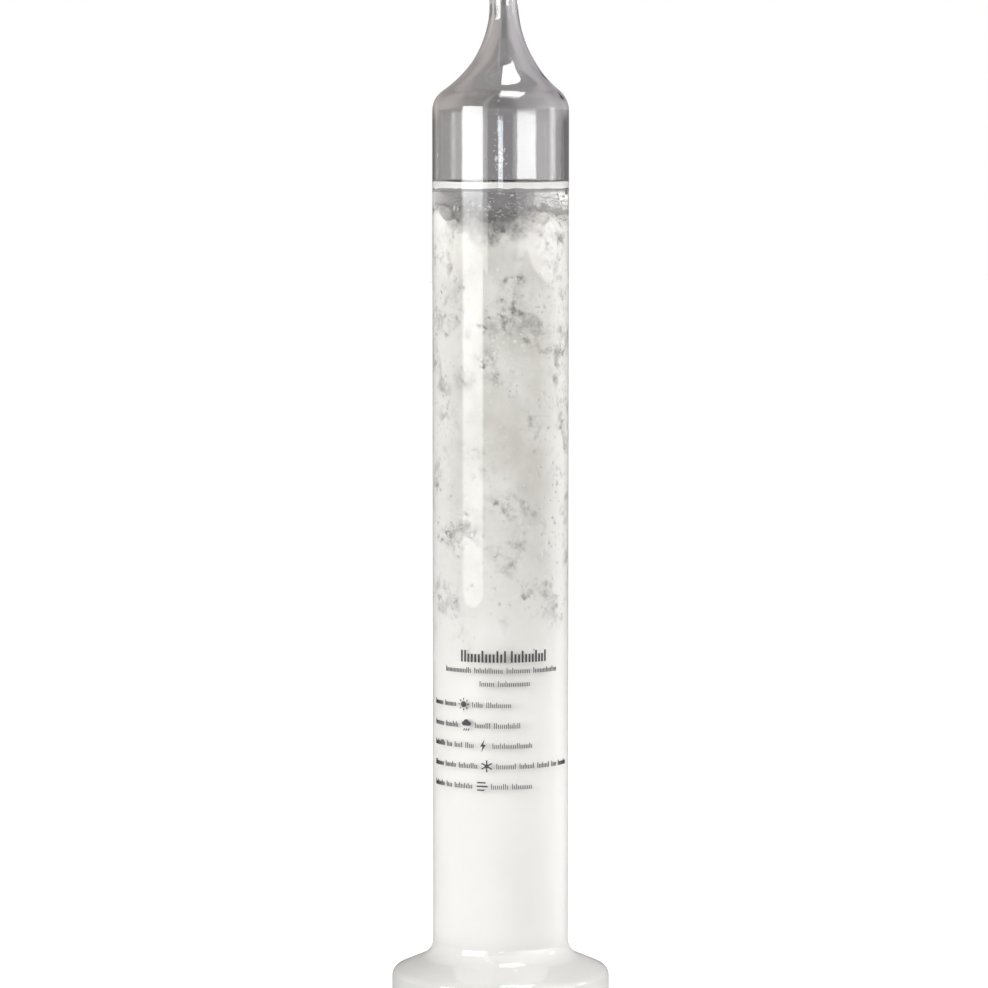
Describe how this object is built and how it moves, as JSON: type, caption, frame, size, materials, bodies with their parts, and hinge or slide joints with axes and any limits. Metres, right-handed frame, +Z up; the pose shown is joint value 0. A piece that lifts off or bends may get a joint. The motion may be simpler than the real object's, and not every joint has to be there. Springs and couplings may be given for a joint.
{
  "type": "storm glass",
  "caption": "Sealed glass cylinder on a flared foot with a drawn neck, part filled with camphor crystals in clear solution under a printed weather key.",
  "frame": {"origin": "centre of the ring that the foot rests on, at the height of that ring", "axes": "+Z up along the axis of the glass; the printed key faces -Y"},
  "size_m": [0.0564, 0.0564, 0.28],
  "materials": {
    "clear_glass": "clear, smooth, flame-worked",
    "solution": "clear alcohol and water solution",
    "camphor_crystal": "white crystalline mass of fine flakes",
    "printed_ink": "thin matt dark grey screen-printed ink"
  },
  "bodies": {
    "vessel": {"foot_floor": "clear_glass", "foot_shell": "clear_glass", "glass_tube": "clear_glass", "drawn_neck": "clear_glass", "seal_tip": "clear_glass", "storm_liquid": "solution", "crystal_bed": "camphor_crystal", "crystal_column_1": "camphor_crystal", "crystal_column_2": "camphor_crystal", "crystal_column_3": "camphor_crystal", "crystal_crown": "camphor_crystal", "print_heading": "printed_ink", "print_subheading": "printed_ink", "print_note": "printed_ink", "print_fair_row": "printed_ink", "print_rain_row": "printed_ink", "print_thunder_row": "printed_ink", "print_snow_row": "printed_ink", "print_wind_row": "printed_ink"},
    "drifting_crystal_1": {"loose_crystal_1": "camphor_crystal"},
    "drifting_crystal_2": {"loose_crystal_2": "camphor_crystal"},
    "drifting_crystal_3": {"loose_crystal_3": "camphor_crystal"},
    "drifting_crystal_4": {"loose_crystal_4": "camphor_crystal"},
    "drifting_crystal_5": {"loose_crystal_5": "camphor_crystal"}
  },
  "joints": [
    {"name": "crystal_1_drift", "type": "slide", "parent": "vessel", "child": "drifting_crystal_1", "axis": [0, 0, 1], "range_m": [-0.002, 0.0018]},
    {"name": "crystal_2_drift", "type": "slide", "parent": "vessel", "child": "drifting_crystal_2", "axis": [0, 0, 1], "range_m": [-0.002, 0.0018]},
    {"name": "crystal_3_drift", "type": "slide", "parent": "vessel", "child": "drifting_crystal_3", "axis": [0, 0, 1], "range_m": [-0.002, 0.0018]},
    {"name": "crystal_4_drift", "type": "slide", "parent": "vessel", "child": "drifting_crystal_4", "axis": [0, 0, 1], "range_m": [-0.002, 0.0018]},
    {"name": "crystal_5_drift", "type": "slide", "parent": "vessel", "child": "drifting_crystal_5", "axis": [0, 0, 1], "range_m": [-0.002, 0.0018]}
  ]
}
